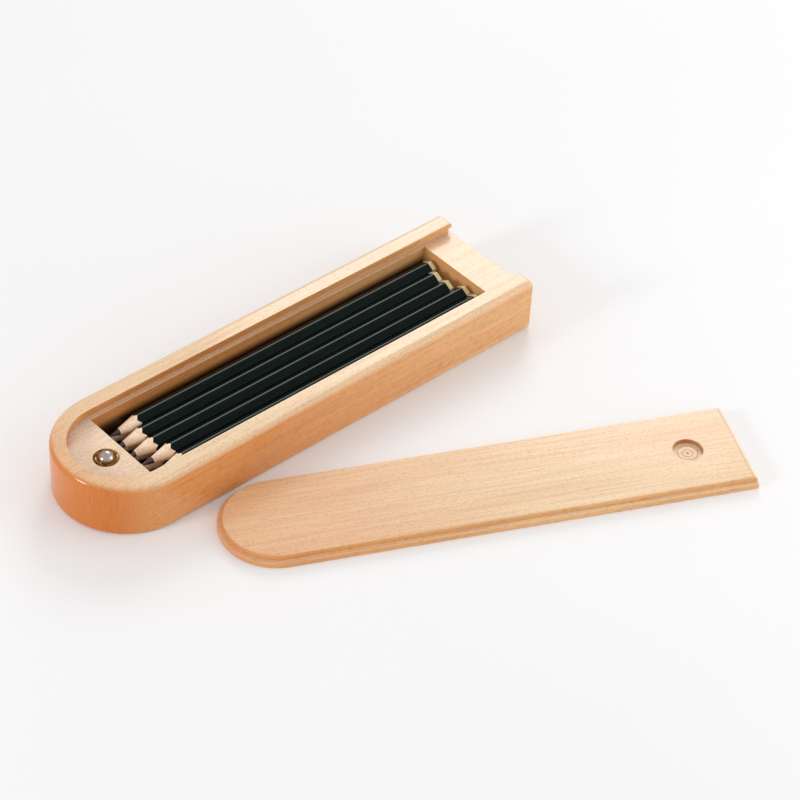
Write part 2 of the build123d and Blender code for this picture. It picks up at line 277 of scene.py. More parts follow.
def pocket_painted_shade(tree, x, y, z):
    """How much painted shade darkens a point: none outside the pocket, more towards its floor."""
    in_length = add(tree, "ShaderNodeMath", {
        0: x, 1: POCKET_MIDDLE_X, 2: POCKET_HALF_LENGTH,
    }, operation="COMPARE")
    in_width = add(tree, "ShaderNodeMath", {0: y, 1: 0.0, 2: POCKET_HALF_WIDTH}, operation="COMPARE")
    inside = add(tree, "ShaderNodeMath", {0: in_length, 1: in_width}, operation="MULTIPLY")
    sunk = add(tree, "ShaderNodeMapRange", {
        "Value": z, "From Min": SHADE_FULL_Z, "From Max": SHADE_END_Z, "To Min": 0.97, "To Max": 0.0,
    }, interpolation_type="SMOOTHSTEP")
    above = add(tree, "ShaderNodeMath", {0: z, 1: POCKET_FLOOR_Z - HAIR}, operation="GREATER_THAN")
    share = add(tree, "ShaderNodeMath", {0: sunk, 1: above}, operation="MULTIPLY")
    return add(tree, "ShaderNodeMath", {0: inside, 1: share}, operation="MULTIPLY")


def cutter_marks_and_shade(tree, x, y, z):
    """How much a point of the thumb recess browns: its rings, its point mark and its wall, browned by the bit
    and darkened as painted shade in the grooves and on the wall.
    """
    along = add(tree, "ShaderNodeMath", {0: x, 1: RECESS_FROM_END}, operation="ADD")
    flat = add(tree, "ShaderNodeCombineXYZ", {0: along, 1: y})
    reach = add(tree, "ShaderNodeVectorMath", {0: flat}, output="Value", operation="LENGTH")
    near = add(tree, "ShaderNodeMath", {0: reach, 1: MARKS_RADIUS}, operation="LESS_THAN")
    sunk = add(tree, "ShaderNodeMapRange", {
        "Value": z, "From Min": RECESS_FLOOR_Z - HAIR, "From Max": RECESS_FLOOR_Z - 0.2 * HAIR,
        "To Min": 0.5, "To Max": 0.0,
    })
    marks = add(tree, "ShaderNodeMath", {0: near, 1: sunk}, operation="MULTIPLY")
    ring = add(tree, "ShaderNodeMath", {0: reach, 1: RECESS_RADIUS, 2: WALL_BAND}, operation="COMPARE")
    low = add(tree, "ShaderNodeMapRange", {
        "Value": z, "From Min": LID_TOP_Z - WALL_BROWN_DEPTH, "From Max": LID_TOP_Z - HAIR,
        "To Min": 0.7, "To Max": 0.0,
    })
    wall = add(tree, "ShaderNodeMath", {0: ring, 1: low}, operation="MULTIPLY")
    both = add(tree, "ShaderNodeMath", {0: marks, 1: wall}, operation="ADD")
    deepest = RECESS_FLOOR_Z - POINT_MARK_DEPTH
    above = add(tree, "ShaderNodeMath", {0: z, 1: deepest}, operation="GREATER_THAN")
    return add(tree, "ShaderNodeMath", {0: both, 1: above}, operation="MULTIPLY")


def bare_deck_with_painted_light(tree, x, z, rise):
    """How much of the bare-wood colour the planed deck takes: all of it at the round end and little at the
    square end. This fade is painted light, which evens the deck's tone between its shaded part at the round
    end and its lit part at the square end.
    """
    at_deck = add(tree, "ShaderNodeMath", {0: z, 1: DECK_Z, 2: DECK_TOLERANCE}, operation="COMPARE")
    is_level = add(tree, "ShaderNodeMath", {0: rise, 1: 0.9}, operation="GREATER_THAN")
    deck = add(tree, "ShaderNodeMath", {0: at_deck, 1: is_level}, operation="MULTIPLY")
    painted_light_fade = add(tree, "ShaderNodeMapRange", {
        "Value": x, "From Min": -DECK_FADE_X, "From Max": DECK_FADE_X, "To Min": 1.0, "To Max": 0.15,
    })
    return add(tree, "ShaderNodeMath", {0: deck, 1: painted_light_fade}, operation="MULTIPLY")


def long_grain(tree, wood, board, upright, side_face, settings):
    """The wood's colour with broad uneven tone, long streaks, fibres and flecks, and the last two alone."""
    broad = patches(tree, board, BROAD_SIZE, 3.0)
    share = add(tree, "ShaderNodeMapRange", {
        "Value": broad, "From Min": 0.35, "From Max": 0.7, "To Min": 0.0, "To Max": 0.22,
    })
    wood = add(tree, "ShaderNodeMix", {0: share, 6: wood, 7: settings.deep}, output=2, data_type="RGBA")
    streak = patches(tree, board, STREAK_SIZE, 2.0)
    streaks = add(tree, "ShaderNodeMapRange", {
        "Value": streak, "From Min": 0.42, "From Max": 0.66, "To Min": 0.0, "To Max": 0.2,
    })
    tilted = add(tree, "ShaderNodeMapping", {"Vector": board, "Rotation": (0, settings.grain_rise, 0)})
    fibre = patches(tree, tilted, FIBRE_SIZE, 3.0, 0.6)
    fibres = add(tree, "ShaderNodeMapRange", {"Value": fibre, "From Min": 0.36, "From Max": 0.68})
    faint_fibres = add(tree, "ShaderNodeMath", {0: fibres, 1: 0.16}, operation="MULTIPLY")
    fleck_size = (settings.fleck_length, settings.fleck_width, settings.fleck_width)
    fleck = patches(tree, tilted, fleck_size, 1.0, 0.4)
    flecks = add(tree, "ShaderNodeMapRange", {"Value": fleck, "From Min": 0.57, "From Max": 0.68})
    strength = add(tree, "ShaderNodeMath", {0: upright, 1: 0.06, 2: 0.3}, operation="MULTIPLY_ADD")
    faint_flecks = add(tree, "ShaderNodeMath", {0: flecks, 1: strength}, operation="MULTIPLY")
    for marks in (streaks, faint_fibres, faint_flecks):
        share = add(tree, "ShaderNodeMath", {0: marks, 1: side_face}, operation="MULTIPLY")
        wood = add(tree, "ShaderNodeMix", {0: share, 6: wood, 7: settings.fleck}, output=2, data_type="RGBA")
    return wood, fibres, flecks


def end_grain(tree, board, y, z, heart, settings):
    """The colour of the fibres' open ends: growth rings as level bands, crossed by fine upright rays."""
    rings = growth_rings(tree, board, y, z, heart, settings.ring_spacing)
    ring_tone = add(tree, "ShaderNodeMapRange", {
        "Value": rings, "From Min": 0.35, "From Max": 0.9,
    }, interpolation_type="SMOOTHSTEP")
    share = add(tree, "ShaderNodeMath", {0: ring_tone, 1: 0.55}, operation="MULTIPLY")
    banded = add(tree, "ShaderNodeMix", {
        0: share, 6: settings.deep, 7: settings.fleck,
    }, output=2, data_type="RGBA")
    rays = patches(tree, board, RAY_SIZE, 2.0)
    ray_tone = add(tree, "ShaderNodeMapRange", {
        "Value": rays, "From Min": 0.42, "From Max": 0.64, "To Min": 0.0, "To Max": 0.36,
    })
    return add(tree, "ShaderNodeMix", {0: ray_tone, 6: banded, 7: settings.fleck}, output=2, data_type="RGBA")


def beech(name, settings, origin, turn, heart, top_shade_fade, side_shade_fade, is_box):
    """Beech, planed and sanded, under a clear glossy varnish.

    The eye gets a warm colour with streaks, fibres and many short brown flecks along the grain, a deeper
    orange with growth bands and rays on the round ends, where open fibres drink the varnish, and soft
    reflections. Flecks, fibres and rays are drawn 0.3 to 0.4 mm wide, wider than real ones, because finer
    ones would not show. The two fades say where along the board its tops and its sides are deeper in tone:
    painted shade towards the round end, and paler towards the square end as painted sheen of the light;
    the end grain fades the same way. heart is where its rings are centred, across and up. Tops and
    undersides are paler than sides, partly as painted sheen. The box's decks have the colour of planed
    wood under no varnish, with painted light along them, and its pocket has painted shade, darker towards
    its floor. The lid's recess keeps the bit's marks, which also carry painted shade in its grooves and on
    its wall.
    """
    material, tree = new_material(name)
    board, x, y, z = board_places(tree, origin, turn)
    normal = add(tree, "ShaderNodeNewGeometry", output="Normal")
    rise = add(tree, "ShaderNodeSeparateXYZ", {0: normal}, output="Z")
    level = add(tree, "ShaderNodeMath", {0: rise}, operation="ABSOLUTE")
    upright = add(tree, "ShaderNodeMapRange", {
        "Value": level, "From Min": 0.25, "From Max": 0.9, "To Min": 1.0, "To Max": 0.0,
    })
    facing = add(tree, "ShaderNodeVectorMath", {
        0: normal, 1: (math.cos(turn), math.sin(turn), 0.0),
    }, output="Value", operation="DOT_PRODUCT")
    end_on = add(tree, "ShaderNodeMath", {0: facing}, operation="ABSOLUTE")
    end_face = add(tree, "ShaderNodeMapRange", {
        "Value": end_on, "From Min": 0.2, "From Max": 0.8,
    }, interpolation_type="SMOOTHSTEP")
    side_face = add(tree, "ShaderNodeMath", {0: 1.0, 1: end_face}, operation="SUBTRACT")

    # Tops and undersides pale and sides warm, the paler tops partly painted sheen; painted shade deepens both
    # towards the rounded end.
    side_tone_share = upright if is_box else add(tree, "ShaderNodeMath", {
        0: upright, 1: side_face,
    }, operation="MULTIPLY")
    wood = add(tree, "ShaderNodeMix", {
        0: side_tone_share, 6: settings.pale, 7: settings.warm,
    }, output=2, data_type="RGBA")
    # Painted shade towards the round end, where the light's sheen is weaker.
    share = add(tree, "ShaderNodeMix", {
        0: upright, 2: faded(tree, x, top_shade_fade), 3: faded(tree, x, side_shade_fade),
    }, output=0, data_type="FLOAT")
    wood = add(tree, "ShaderNodeMix", {0: share, 6: wood, 7: settings.deep}, output=2, data_type="RGBA")
    if is_box:
        # Painted light: the bare deck is paler where it lies in shade.
        share = bare_deck_with_painted_light(tree, x, z, rise)
        wood = add(tree, "ShaderNodeMix", {0: share, 6: wood, 7: settings.bare}, output=2, data_type="RGBA")
    wood, fibres, flecks = long_grain(tree, wood, board, upright, side_face, settings)

    # Open fibres on the ends, fading towards the square end as painted light; at last the pocket's painted
    # shade or the bit's marks, which also carry painted shade.
    soaked_with_painted_light = add(tree, "ShaderNodeMath", {
        0: faded(tree, x, side_shade_fade), 1: 1.7, 2: 0.1,
    }, operation="MULTIPLY_ADD")
    share = add(tree, "ShaderNodeMath", {0: end_face, 1: soaked_with_painted_light}, operation="MULTIPLY")
    open_wood = end_grain(tree, board, y, z, heart, settings)
    wood = add(tree, "ShaderNodeMix", {0: share, 6: wood, 7: open_wood}, output=2, data_type="RGBA")
    if is_box:
        pocket_shade = pocket_painted_shade(tree, x, y, z)
        wood = add(tree, "ShaderNodeMix", {0: pocket_shade, 6: wood, 7: settings.pocket_shade}, output=2, data_type="RGBA")
    else:
        marks = cutter_marks_and_shade(tree, x, y, z)
        wood = add(tree, "ShaderNodeMix", {0: marks, 6: wood, 7: settings.fleck}, output=2, data_type="RGBA")

    # Fibres and flecks lie a little lower than the wood between them.
    sunk = add(tree, "ShaderNodeMath", {0: fibres, 1: -0.4}, operation="MULTIPLY")
    height = add(tree, "ShaderNodeMath", {0: sunk, 1: flecks}, operation="SUBTRACT")
    bumped = add(tree, "ShaderNodeBump", {"Height": height, "Strength": 0.1, "Distance": 0.05 * MM})
    matt = add(tree, "ShaderNodeMath", {0: fibres, 1: 0.08, 2: 0.36}, operation="MULTIPLY_ADD")
    shader = add(tree, "ShaderNodeBsdfPrincipled", {
        "Base Color": wood, "Roughness": matt, "IOR": 1.5, "Specular IOR Level": 0.2, "Normal": bumped,
        "Coat Weight": 0.62, "Coat Roughness": 0.13, "Coat IOR": 1.5,
    })
    add(tree, "ShaderNodeOutputMaterial", {"Surface": shader}, output=None)
    return material


def turned_brass(settings, centre):
    """Plain turned brass: yellow-brown metal with lathe rings under a brown film.

    The rings stand 0.28 mm apart, wider than a lathe leaves them, because finer ones would not show.
    """
    material, tree = new_material("turned_brass")
    place = add(tree, "ShaderNodeTexCoord", output="Object")
    local = add(tree, "ShaderNodeVectorMath", {0: place, 1: centre}, operation="SUBTRACT")
    flat = add(tree, "ShaderNodeVectorMath", {0: local, 1: (1, 1, 0)}, operation="MULTIPLY")
    reach = add(tree, "ShaderNodeVectorMath", {0: flat}, output="Value", operation="LENGTH")
    radians_per_metre = math.tau / settings.turning_pitch
    turns = add(tree, "ShaderNodeMath", {0: reach, 1: radians_per_metre}, operation="MULTIPLY")
    marks = add(tree, "ShaderNodeMath", {0: turns}, operation="SINE")
    film = add(tree, "ShaderNodeTexNoise", {"Vector": place, "Scale": 1 / (1.6 * MM), "Detail": 3.0})
    clear = add(tree, "ShaderNodeMapRange", {"Value": film, "From Min": 0.35, "From Max": 0.65})
    colour = add(tree, "ShaderNodeMix", {
        0: clear, 6: settings.tarnish, 7: settings.brass,
    }, output=2, data_type="RGBA")
    rough = add(tree, "ShaderNodeMath", {0: clear, 1: -0.1, 2: 0.34}, operation="MULTIPLY_ADD")
    normal = add(tree, "ShaderNodeBump", {"Height": marks, "Strength": 0.2, "Distance": 0.02 * MM})
    shader = add(tree, "ShaderNodeBsdfPrincipled", {
        "Base Color": colour, "Metallic": 1.0, "Roughness": rough, "Normal": normal,
    })
    add(tree, "ShaderNodeOutputMaterial", {"Surface": shader}, output=None)
    return material


def polished_steel(settings):
    """Bearing steel, polished and then handled: soft reflections, with level rub marks in a browner tone."""
    material, tree = new_material("polished_bearing_steel")
    place = add(tree, "ShaderNodeTexCoord", output="Object")
    rubs = patches(tree, place, (0.9 * MM, 0.9 * MM, 0.25 * MM), 4.0, 0.7)
    shader = add(tree, "ShaderNodeBsdfPrincipled", {
        "Base Color": toned(tree, rubs, 0.3, 0.6, linear("#8f8379"), settings.steel),
        "Roughness": add(tree, "ShaderNodeMath", {0: rubs, 1: 0.12, 2: 0.2}, operation="MULTIPLY_ADD"),
        "Metallic": 1.0,
    })
    add(tree, "ShaderNodeOutputMaterial", {"Surface": shader}, output=None)
    return material


def spring_steel():
    """Drawn spring wire: grey metal with fine streaks where the die dragged."""
    material, tree = new_material("drawn_spring_wire")
    place = add(tree, "ShaderNodeTexCoord", output="Object")
    streaks = patches(tree, place, (0.2 * MM, 0.2 * MM, 1.0 * MM), 3.0)
    shader = add(tree, "ShaderNodeBsdfPrincipled", {
        "Base Color": toned(tree, streaks, 0.3, 0.7, linear("#77777c"), linear("#a2a2a6")),
        "Roughness": add(tree, "ShaderNodeMath", {0: streaks, 1: 0.2, 2: 0.25}, operation="MULTIPLY_ADD"),
        "Metallic": 1.0,
    })
    add(tree, "ShaderNodeOutputMaterial", {"Surface": shader}, output=None)
    return material


def gloss_lacquer(settings):
    """Nitrocellulose lacquer in many thin coats.

    The eye gets a near-black green with slight ripples, a hard thin shine, and a painted highlight: a paler
    line along the upper corner, where the light glints.
    """
    material, tree = new_material("dark_green_gloss_lacquer")
    place = add(tree, "ShaderNodeAttribute", output="Vector", attribute_name="pencil_place")
    ripple = patches(tree, place, (9 * MM, 1.1 * MM, 1.1 * MM), 2.0)
    specks = add(tree, "ShaderNodeTexNoise", {
        "Vector": place, "Scale": 1 / (0.45 * MM), "Detail": 3.0, "Roughness": 0.6,
    })
    tint = toned(tree, ripple, 0.35, 0.65, settings.lacquer, linear("#0b1715"))
    height = add(tree, "ShaderNodeSeparateXYZ", {0: place}, output="Z")
    # Painted highlight: a paler line along the top corner, where the light glints.
    ridge_highlight = add(tree, "ShaderNodeMapRange", {
        "Value": height, "From Min": HIGHLIGHT_FROM_Z, "From Max": HIGHLIGHT_FULL_Z, "To Min": 0.0, "To Max": 0.4,
    })
    tint = add(tree, "ShaderNodeMix", {0: ridge_highlight, 6: tint, 7: linear("#8d9c96")}, output=2, data_type="RGBA")
    rough = add(tree, "ShaderNodeMapRange", {
        "Value": specks, "From Min": 0.4, "From Max": 0.75, "To Min": 0.16, "To Max": 0.34,
    })
    normal = add(tree, "ShaderNodeBump", {"Height": ripple, "Strength": 0.15, "Distance": 0.03 * MM})
    shader = add(tree, "ShaderNodeBsdfPrincipled", {
        "Base Color": tint, "Roughness": rough, "IOR": 1.5, "Specular IOR Level": 0.1, "Normal": normal,
    })
    add(tree, "ShaderNodeOutputMaterial", {"Surface": shader}, output=None)
    return material


def bare_cedar(settings):
    """Incense cedar fresh from a sharpener: pale pinkish wood with streaks along the grain and cutter rings.

    The streaks and rings are drawn 0.35 to 0.4 mm wide, wider than real ones, so that they show.
    """
    material, tree = new_material("bare_incense_cedar")
    place = add(tree, "ShaderNodeAttribute", output="Vector", attribute_name="pencil_place")
    streaks = patches(tree, place, (6 * MM, 0.4 * MM, 0.4 * MM), 3.0, 0.6)
    cuts = patches(tree, place, (0.35 * MM, 8 * MM, 8 * MM), 1.0)
    normal = add(tree, "ShaderNodeBump", {"Height": cuts, "Strength": 0.3, "Distance": 0.05 * MM})
    shader = add(tree, "ShaderNodeBsdfPrincipled", {
        "Base Color": toned(tree, streaks, 0.3, 0.62, linear("#f0bc90"), settings.cedar),
        "Roughness": 0.5, "IOR": 1.5, "Normal": normal,
    })
    add(tree, "ShaderNodeOutputMaterial", {"Surface": shader}, output=None)
    return material


def graphite_lead(settings):
    """Fired graphite and clay: dark grey with a dull metal shine and cutter rings."""
    material, tree = new_material("graphite_and_clay")
    place = add(tree, "ShaderNodeAttribute", output="Vector", attribute_name="pencil_place")
    cuts = patches(tree, place, (0.25 * MM, 5 * MM, 5 * MM), 2.0)
    grit = add(tree, "ShaderNodeTexNoise", {"Vector": place, "Scale": 1 / (0.25 * MM), "Detail": 3.0})
    shader = add(tree, "ShaderNodeBsdfPrincipled", {
        "Base Color": toned(tree, grit, 0.3, 0.7, linear("#3a363c"), settings.graphite),
        "Roughness": add(tree, "ShaderNodeMath", {0: grit, 1: 0.2, 2: 0.26}, operation="MULTIPLY_ADD"),
        "Normal": add(tree, "ShaderNodeBump", {"Height": cuts, "Strength": 0.3, "Distance": 0.03 * MM}),
        "Metallic": 0.8,
    })
    add(tree, "ShaderNodeOutputMaterial", {"Surface": shader}, output=None)
    return material


def end_paint(settings):
    """Thick dipped enamel: cream, glossy, with a slightly uneven tone."""
    material, tree = new_material("cream_dipped_enamel")
    place = add(tree, "ShaderNodeAttribute", output="Vector", attribute_name="pencil_place")
    uneven = add(tree, "ShaderNodeTexNoise", {"Vector": place, "Scale": 1 / (1.5 * MM), "Detail": 2.0})
    normal = add(tree, "ShaderNodeBump", {"Height": uneven, "Strength": 0.2, "Distance": 0.05 * MM})
    shader = add(tree, "ShaderNodeBsdfPrincipled", {
        "Base Color": toned(tree, uneven, 0.3, 0.7, linear("#bfa878"), settings.end_paint),
        "Roughness": 0.3, "IOR": 1.5, "Normal": normal,
    })
    add(tree, "ShaderNodeOutputMaterial", {"Surface": shader}, output=None)
    return material


def bake_modifiers(piece):
    """Applies a piece's modifiers, so that its mesh is plain."""
    graph = bpy.context.evaluated_depsgraph_get()
    mesh = bpy.data.meshes.new_from_object(piece.evaluated_get(graph))
    piece.modifiers.clear()
    old = piece.data
    piece.data = mesh
    bpy.data.meshes.remove(old)
    mesh.name = piece.name


def new_object(name, data):
    """A new object in the scene."""
    made = bpy.data.objects.new(name, data)
    bpy.context.scene.collection.objects.link(made)
    return made


def merged_copy(node, material, join_flat_faces):
    """A copy of a CAD node's mesh, its loose triangles merged and its flat faces joined if that is asked."""
    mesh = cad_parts[node].data.copy()
    shape = bmesh.new()
    shape.from_mesh(mesh)
    bmesh.ops.remove_doubles(shape, verts=shape.verts, dist=MERGE_DISTANCE)
    if join_flat_faces:
        bmesh.ops.dissolve_limit(
            shape, verts=shape.verts, edges=shape.edges,
            angle_limit=math.radians(0.4), use_dissolve_boundaries=False,
        )
    shape.to_mesh(mesh)
    shape.free()
    mesh.shade_smooth()
    mesh.materials.clear()
    mesh.materials.append(material)
    return mesh


def finished_copy(node, name, edge, material, body):
    """A clean copy of a CAD node with its sharp edges eased, which stands for that node."""
    piece = new_object(name, merged_copy(node, material, join_flat_faces=True))
    bevel = piece.modifiers.new("eased_edges", "BEVEL")
    bevel.width = edge
    bevel.segments = 2
    bevel.limit_method = "ANGLE"
    bevel.angle_limit = math.radians(40)
    bevel.use_clamp_overlap = True
    flats = piece.modifiers.new("flat_faces_stay_flat", "WEIGHTED_NORMAL")
    flats.mode = "FACE_AREA"
    flats.weight = 100
    bake_modifiers(piece)
    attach(piece, body)
    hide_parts(node)
    return piece


class PENCILBOX_OT_box(bpy.types.Operator):
    """Finish the box body as varnished beech"""
    bl_idname = "pencilbox.box"
    bl_label = "Box body"

    def execute(self, context):
        settings = context.scene.pencilbox_beech
        wood = beech(
            "beech_box_gloss_varnish", settings, origin=Vector((0, 0, 0)), turn=0.0,
            heart=(8 * MM, -62 * MM), top_shade_fade=(-114 * MM, -84 * MM, 0.3), side_shade_fade=(-30 * MM, 90 * MM, 0.5),
            is_box=True,
        )
        edge = 0.2 * MM
        finished_copy("box_body", "box_body_beech", edge, wood, "box")
        return {"FINISHED"}


class PENCILBOX_OT_lid(bpy.types.Operator):
    """Finish the sliding lid as varnished beech, its grain along its own length"""
    bl_idname = "pencilbox.lid"
    bl_label = "Sliding lid"

    def execute(self, context):
        settings = context.scene.pencilbox_beech
        wood = beech(
            "beech_lid_gloss_varnish", settings, origin=LID_END, turn=LID_TURN,
            heart=(-16 * MM, -70 * MM), top_shade_fade=(-240 * MM, -40 * MM, 0.32),
            side_shade_fade=(-222 * MM, -60 * MM, 0.3), is_box=False,
        )
        edge = 0.15 * MM
        finished_copy("lid_panel", "lid_beech", edge, wood, "lid")
        return {"FINISHED"}


def catch_cup(settings):
    """The turned cup, its lathe rings centred on its axis."""
    low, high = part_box("catch_cup")
    brass = turned_brass(settings, ((low.x + high.x) / 2, (low.y + high.y) / 2, 0.0))
    edge = 0.05 * MM
    return finished_copy("catch_cup", "catch_cup_brass", edge, brass, "box")


def catch_ball(settings):
    """The ball, rounder than the CAD mesh."""
    low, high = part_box("catch_ball")
    radius = (high.z - low.z) / 2
    shape = bmesh.new()
    bmesh.ops.create_icosphere(
        shape, subdivisions=5, radius=radius, matrix=Matrix.Translation((low + high) / 2)
    )
    mesh = bpy.data.meshes.new("catch_ball_steel")
    shape.to_mesh(mesh)
    shape.free()
    mesh.shade_smooth()
    mesh.materials.append(polished_steel(settings))
    ball = new_object("catch_ball_steel", mesh)
    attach(ball, "catch_ball")
    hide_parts("catch_ball")
    return ball


def catch_spring():
    """The spring, a merged copy of its CAD mesh with a mesh of its own."""
    mesh = merged_copy("catch_spring", spring_steel(), join_flat_faces=False)
    spring = new_object("catch_spring_wire", mesh)
    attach(spring, "box")
    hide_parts("catch_spring")
    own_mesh(spring)
    return spring


class PENCILBOX_OT_catch(bpy.types.Operator):
    """Finish the brass cup, the steel ball and its spring"""
    bl_idname = "pencilbox.catch"
    bl_label = "Ball catch"

    def execute(self, context):
        settings = context.scene.pencilbox_catch
        catch_cup(settings)
        catch_ball(settings)
        catch_spring()
        return {"FINISHED"}


def hexagon_radius(tree, around, flats, rounding):
    """Distance from a pencil's axis to its surface, a hexagon with rounded corners and one at angle 0."""
    sixth = math.radians(60)
    half = add(tree, "ShaderNodeMath", {0: flats, 1: 0.5}, operation="MULTIPLY")
    inner = add(tree, "ShaderNodeMath", {0: half, 1: rounding}, operation="SUBTRACT")
    from_corner = add(tree, "ShaderNodeMath", {0: around, 1: sixth / 2}, operation="PINGPONG")
    from_flat = add(tree, "ShaderNodeMath", {0: sixth / 2, 1: from_corner}, operation="SUBTRACT")
    lean = add(tree, "ShaderNodeMath", {0: from_flat}, operation="COSINE")
    flat = add(tree, "ShaderNodeMath", {0: half, 1: lean}, operation="DIVIDE")
    centre = add(tree, "ShaderNodeMath", {0: inner, 1: math.cos(sixth / 2)}, operation="DIVIDE")
    cosine = add(tree, "ShaderNodeMath", {0: from_corner}, operation="COSINE")
    sine = add(tree, "ShaderNodeMath", {0: from_corner}, operation="SINE")
    along = add(tree, "ShaderNodeMath", {0: centre, 1: cosine}, operation="MULTIPLY")
    aside = add(tree, "ShaderNodeMath", {0: centre, 1: sine}, operation="MULTIPLY")
    round_square = add(tree, "ShaderNodeMath", {0: rounding, 1: rounding}, operation="MULTIPLY")
    aside_square = add(tree, "ShaderNodeMath", {0: aside, 1: aside}, operation="MULTIPLY")
    left = add(tree, "ShaderNodeMath", {0: round_square, 1: aside_square}, operation="SUBTRACT")
    kept = add(tree, "ShaderNodeMath", {0: left, 1: 0.0}, operation="MAXIMUM")
    rise = add(tree, "ShaderNodeMath", {0: kept}, operation="SQRT")
    arc = add(tree, "ShaderNodeMath", {0: along, 1: rise}, operation="ADD")
    flat_end = add(tree, "ShaderNodeMath", {0: inner, 1: math.tan(sixth / 2)}, operation="MULTIPLY")
    end_slope = add(tree, "ShaderNodeMath", {0: flat_end, 1: half}, operation="DIVIDE")
    slope = add(tree, "ShaderNodeMath", {0: from_flat}, operation="TANGENT")
    on_arc = add(tree, "ShaderNodeMath", {0: slope, 1: end_slope}, operation="GREATER_THAN")
    return add(tree, "GeometryNodeSwitch", {"Switch": on_arc, "False": flat, "True": arc}, input_type="FLOAT")


def sharpened(tree, radius, given):
    """How far from the point the sharpened form has a radius: on its long cone or its steeper shoulder."""
    half = add(tree, "ShaderNodeMath", {0: given["Flats"], 1: 0.5}, operation="MULTIPLY")
    shoulder = add(tree, "ShaderNodeMath", {0: half, 1: given["Shoulder inset"]}, operation="SUBTRACT")
    cone_slope = add(tree, "ShaderNodeMath", {0: given["Cone angle"]}, operation="TANGENT")
    shoulder_slope = add(tree, "ShaderNodeMath", {0: given["Shoulder angle"]}, operation="TANGENT")
    rise = add(tree, "ShaderNodeMath", {0: radius, 1: given["Tip radius"]}, operation="SUBTRACT")
    on_cone = add(tree, "ShaderNodeMath", {0: rise, 1: cone_slope}, operation="DIVIDE")
    cone_rise = add(tree, "ShaderNodeMath", {0: shoulder, 1: given["Tip radius"]}, operation="SUBTRACT")
    cone_end = add(tree, "ShaderNodeMath", {0: cone_rise, 1: cone_slope}, operation="DIVIDE")
    past = add(tree, "ShaderNodeMath", {0: radius, 1: shoulder}, operation="SUBTRACT")
    past_length = add(tree, "ShaderNodeMath", {0: past, 1: shoulder_slope}, operation="DIVIDE")
    on_shoulder = add(tree, "ShaderNodeMath", {0: cone_end, 1: past_length}, operation="ADD")
    return add(tree, "ShaderNodeMath", {0: on_cone, 1: on_shoulder}, operation="MINIMUM")


def pencil_rings(tree, piece_name, around, given):
    """The rings of a piece, each as its place along the pencil and its radius, and if they form a loop."""
    thickness = given["Lacquer"]
    twice = add(tree, "ShaderNodeMath", {0: thickness, 1: 2.0}, operation="MULTIPLY")
    core_flats = add(tree, "ShaderNodeMath", {0: given["Flats"], 1: twice}, operation="SUBTRACT")
    core_round = add(tree, "ShaderNodeMath", {0: given["Edge round"], 1: thickness}, operation="SUBTRACT")
    lead = add(tree, "ShaderNodeMath", {0: given["Lead"], 1: 0.5}, operation="MULTIPLY")
    coat = hexagon_radius(tree, around, given["Flats"], given["Edge round"])
    core = hexagon_radius(tree, around, core_flats, core_round)
    full = given["Length"]
    dip_start = add(tree, "ShaderNodeMath", {0: full, 1: given["Dip"]}, operation="SUBTRACT")
    wood_end = add(tree, "ShaderNodeMath", {0: full, 1: END_PAINT_THICKNESS}, operation="SUBTRACT")

    if piece_name == "wood":
        rings = [(sharpened(tree, lead, given), lead)]
        for share in WOOD_RING_SHARES:
            inner_part = add(tree, "ShaderNodeMath", {0: lead, 1: 1 - share}, operation="MULTIPLY")
            part = add(tree, "ShaderNodeMath", {0: core, 1: share, 2: inner_part}, operation="MULTIPLY_ADD")
            rings.append((sharpened(tree, part, given), part))
        rings += [(sharpened(tree, core, given), core), (wood_end, core), (wood_end, lead)]
        return rings, True
    if piece_name == "lead":
        blunt = add(tree, "ShaderNodeMath", {0: given["Tip radius"], 1: 0.7}, operation="MULTIPLY")
        return [
            (0.0, 0.0), (0.0, blunt), (POINT_BEVEL, given["Tip radius"]),
            (sharpened(tree, lead, given), lead), (wood_end, lead), (wood_end, 0.0),
        ], False
    if piece_name == "lacquer":
        thin = add(tree, "ShaderNodeMath", {0: coat, 1: LACQUER_LIP}, operation="SUBTRACT")
        front = sharpened(tree, coat, given)
        past = add(tree, "ShaderNodeMath", {0: front, 1: LACQUER_BEVEL}, operation="ADD")
        return [
            (sharpened(tree, core, given), core), (sharpened(tree, thin, given), thin), (past, coat),
            (dip_start, coat), (dip_start, core),
        ], True
    part_ease = 0.3 * END_PAINT_EASE
    eased = add(tree, "ShaderNodeMath", {0: coat, 1: END_PAINT_EASE}, operation="SUBTRACT")
    middle = add(tree, "ShaderNodeMath", {0: coat, 1: part_ease}, operation="SUBTRACT")
    ease_start = add(tree, "ShaderNodeMath", {0: full, 1: END_PAINT_EASE}, operation="SUBTRACT")
    ease_middle = add(tree, "ShaderNodeMath", {0: full, 1: part_ease}, operation="SUBTRACT")
    return [
        (wood_end, 0.0), (wood_end, core), (dip_start, core), (dip_start, coat),
        (ease_start, coat), (ease_middle, middle), (full, eased), (full, 0.0),
    ], False


PENCIL_INPUTS = {
    "Flats": "flats", "Edge round": "edge_round", "Lacquer": "lacquer_thickness", "Lead": "lead",
    "Tip radius": "tip_radius", "Cone angle": "cone_angle", "Shoulder inset": "shoulder_inset",
    "Shoulder angle": "shoulder_angle", "Length": "full_length", "Dip": "dip",
}


